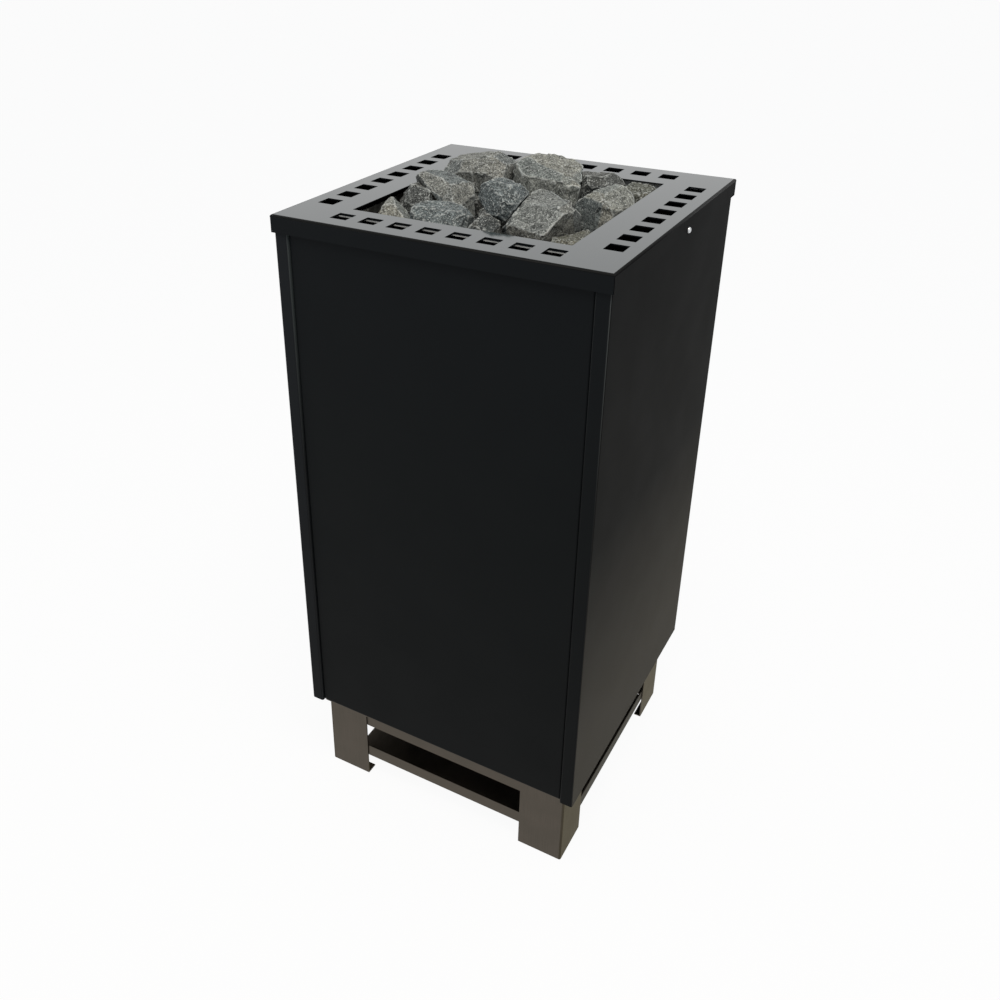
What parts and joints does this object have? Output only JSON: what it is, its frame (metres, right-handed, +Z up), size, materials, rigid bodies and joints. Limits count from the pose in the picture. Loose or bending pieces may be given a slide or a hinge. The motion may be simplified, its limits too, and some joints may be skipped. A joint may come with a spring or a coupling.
{
  "type": "sauna heater stove",
  "caption": "Floor-standing electric sauna heater with a square black casing, a vented collar filled with stones and a stainless base with angle feet.",
  "frame": {"origin": "on the floor, under the middle of the square casing", "axes": "+Z up, -Y towards the front, +X to the right along the front"},
  "size_m": [0.4062, 0.4, 0.8477],
  "materials": {
    "black_powder_coat": "satin black powder coat on folded steel sheet",
    "brushed_stainless": "dull brushed stainless sheet",
    "zinc_sheet": "plain aluminised steel sheet",
    "black_shield": "black heat-proof paint on steel sheet",
    "zinc_screw": "bright zinc-plated steel",
    "element_steel": "heat-tinted stainless tube",
    "grate_steel": "dull stainless bar",
    "brass": "machined brass",
    "ceramic": "fired steatite",
    "gland_plastic": "heat-proof moulded polyamide",
    "seal_rubber": "silicone rubber",
    "split_stone": "split olivine diabase, rough"
  },
  "bodies": {
    "heater": {"foot_front_left": "brushed_stainless", "foot_front_right": "brushed_stainless", "foot_rear_left": "brushed_stainless", "foot_rear_right": "brushed_stainless", "floor_tray": "brushed_stainless", "upper_rail_front": "brushed_stainless", "upper_rail_rear": "brushed_stainless", "upper_rail_left": "brushed_stainless", "upper_rail_right": "brushed_stainless", "beam_front": "zinc_sheet", "beam_rear": "zinc_sheet", "side_panel_left": "black_powder_coat", "side_panel_right": "black_powder_coat", "front_panel": "black_powder_coat", "rear_panel": "black_powder_coat", "collar_screws": "zinc_screw", "m4_screws": "zinc_screw", "crossbar_front": "zinc_sheet", "crossbar_rear": "zinc_sheet", "liner_front": "black_shield", "liner_rear": "black_shield", "liner_left": "black_shield", "liner_right": "black_shield", "stone_basket": "zinc_sheet", "stone_grate": "grate_steel", "element_left": "element_steel", "element_centre": "element_steel", "element_right": "element_steel", "element_bushes": "brass", "element_nuts": "zinc_screw", "element_plate": "zinc_sheet", "terminal_box": "zinc_sheet", "terminal_cover": "zinc_sheet", "terminal_block": "ceramic", "terminal_clamps": "brass", "cable_gland": "gland_plastic", "gland_nut": "gland_plastic", "gland_seal": "seal_rubber", "gland_lock_nut": "gland_plastic", "earth_stud": "brass", "element_links": "brass", "stones_lower": "split_stone", "stones_upper": "split_stone", "stone_01": "split_stone", "stone_02": "split_stone", "stone_03": "split_stone", "stone_04": "split_stone", "stone_05": "split_stone", "stone_06": "split_stone", "stone_07": "split_stone", "stone_08": "split_stone", "stone_09": "split_stone", "stone_10": "split_stone", "stone_11": "split_stone", "stone_12": "split_stone", "stone_13": "split_stone", "stones_filler": "split_stone"},
    "collar": {"collar": "black_powder_coat"}
  },
  "joints": [
    {"name": "collar_lift", "type": "slide", "parent": "heater", "child": "collar", "axis": [0, 0, 1], "range_m": [0, 0.08]}
  ]
}
